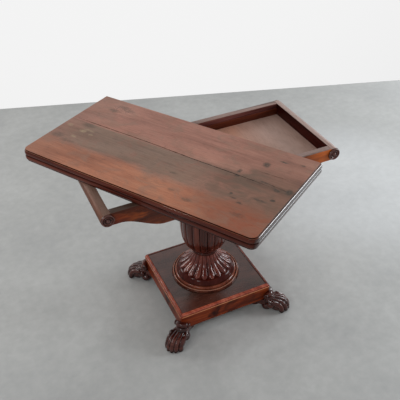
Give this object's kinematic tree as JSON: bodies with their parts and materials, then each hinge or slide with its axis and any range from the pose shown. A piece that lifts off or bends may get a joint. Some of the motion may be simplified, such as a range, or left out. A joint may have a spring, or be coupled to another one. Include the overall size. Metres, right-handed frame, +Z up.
{
  "type": "folding pedestal card table",
  "caption": "Fold-over card table: a hinged, swivelling top over a frieze with a storage well, on a lobed column, moulded plinth and carved paw feet.",
  "frame": {"origin": "on the floor, in the middle of the plan of the whole table in the shown pose", "axes": "+Z up; +X along the length of the frieze towards the open well; -Y towards the front apron"},
  "size_m": [1.0082, 1.002, 0.7375],
  "materials": {
    "faded_mahogany": "faded polish, worn",
    "flame_mahogany": "glossy polish",
    "rail_mahogany": "dull polish",
    "carved_mahogany": "dark glossy polish",
    "plinth_mahogany": "dark satin polish",
    "moulding_mahogany": "satin polish",
    "paw_mahogany": "dark glossy polish",
    "plain_deal": "bare",
    "well_mahogany": "satin polish",
    "brass": "tarnished",
    "iron": "dark, oiled",
    "green_baize": "matt wool cloth"
  },
  "bodies": {
    "base": {"front_apron": "flame_mahogany", "back_apron": "flame_mahogany", "left_end_rail": "rail_mahogany", "right_end_rail": "rail_mahogany", "roundel_front_left": "flame_mahogany", "roundel_front_right": "flame_mahogany", "roundel_back_left": "flame_mahogany", "roundel_back_right": "flame_mahogany", "pivot_board": "rail_mahogany", "stop_peg": "plain_deal", "well_divider": "well_mahogany", "well_floor": "well_mahogany", "well_cleat_front": "plain_deal", "well_cleat_back": "plain_deal", "bearer_board": "plain_deal", "column_cap": "carved_mahogany", "column_vase": "carved_mahogany", "column_collar": "carved_mahogany", "column_bell": "carved_mahogany", "column_base_ring": "carved_mahogany", "column_dowel": "plain_deal", "plinth_top_board": "plinth_mahogany", "plinth_rail_front": "plinth_mahogany", "plinth_rail_right": "plinth_mahogany", "plinth_rail_back": "plinth_mahogany", "plinth_rail_left": "plinth_mahogany", "plinth_moulding_front": "moulding_mahogany", "plinth_moulding_right": "moulding_mahogany", "plinth_moulding_back": "moulding_mahogany", "plinth_moulding_left": "moulding_mahogany", "plinth_core": "plain_deal", "corner_block_front_left": "plain_deal", "corner_block_front_right": "plain_deal", "corner_block_back_right": "plain_deal", "corner_block_back_left": "plain_deal", "paw_front_left": "paw_mahogany", "paw_front_right": "paw_mahogany", "paw_back_right": "paw_mahogany", "paw_back_left": "paw_mahogany", "foot_dowel_front_left": "plain_deal", "foot_dowel_front_right": "plain_deal", "foot_dowel_back_right": "plain_deal", "foot_dowel_back_left": "plain_deal"},
    "lower_top": {"lower_leaf": "faded_mahogany", "lower_baize": "green_baize", "hinge_left_lower": "brass", "hinge_left_pin": "brass", "hinge_right_lower": "brass", "hinge_right_pin": "brass", "pivot_bolt": "iron", "pivot_washer": "iron", "pivot_nut": "iron"},
    "upper_top": {"upper_leaf": "faded_mahogany", "upper_baize": "green_baize", "hinge_left_upper": "brass", "hinge_right_upper": "brass"}
  },
  "joints": [
    {"name": "top_swivel", "type": "hinge", "parent": "base", "child": "lower_top", "pos_m": [-0.04391, 0.15117, 0.6933], "axis": [0, 0, 1], "range_deg": [-32, 58]},
    {"name": "leaf_fold", "type": "hinge", "parent": "lower_top", "child": "upper_top", "pos_m": [0.11008, 0.11562, 0.71555], "axis": [-0.5299, 0.848, 0], "range_deg": [0, 180]}
  ]
}
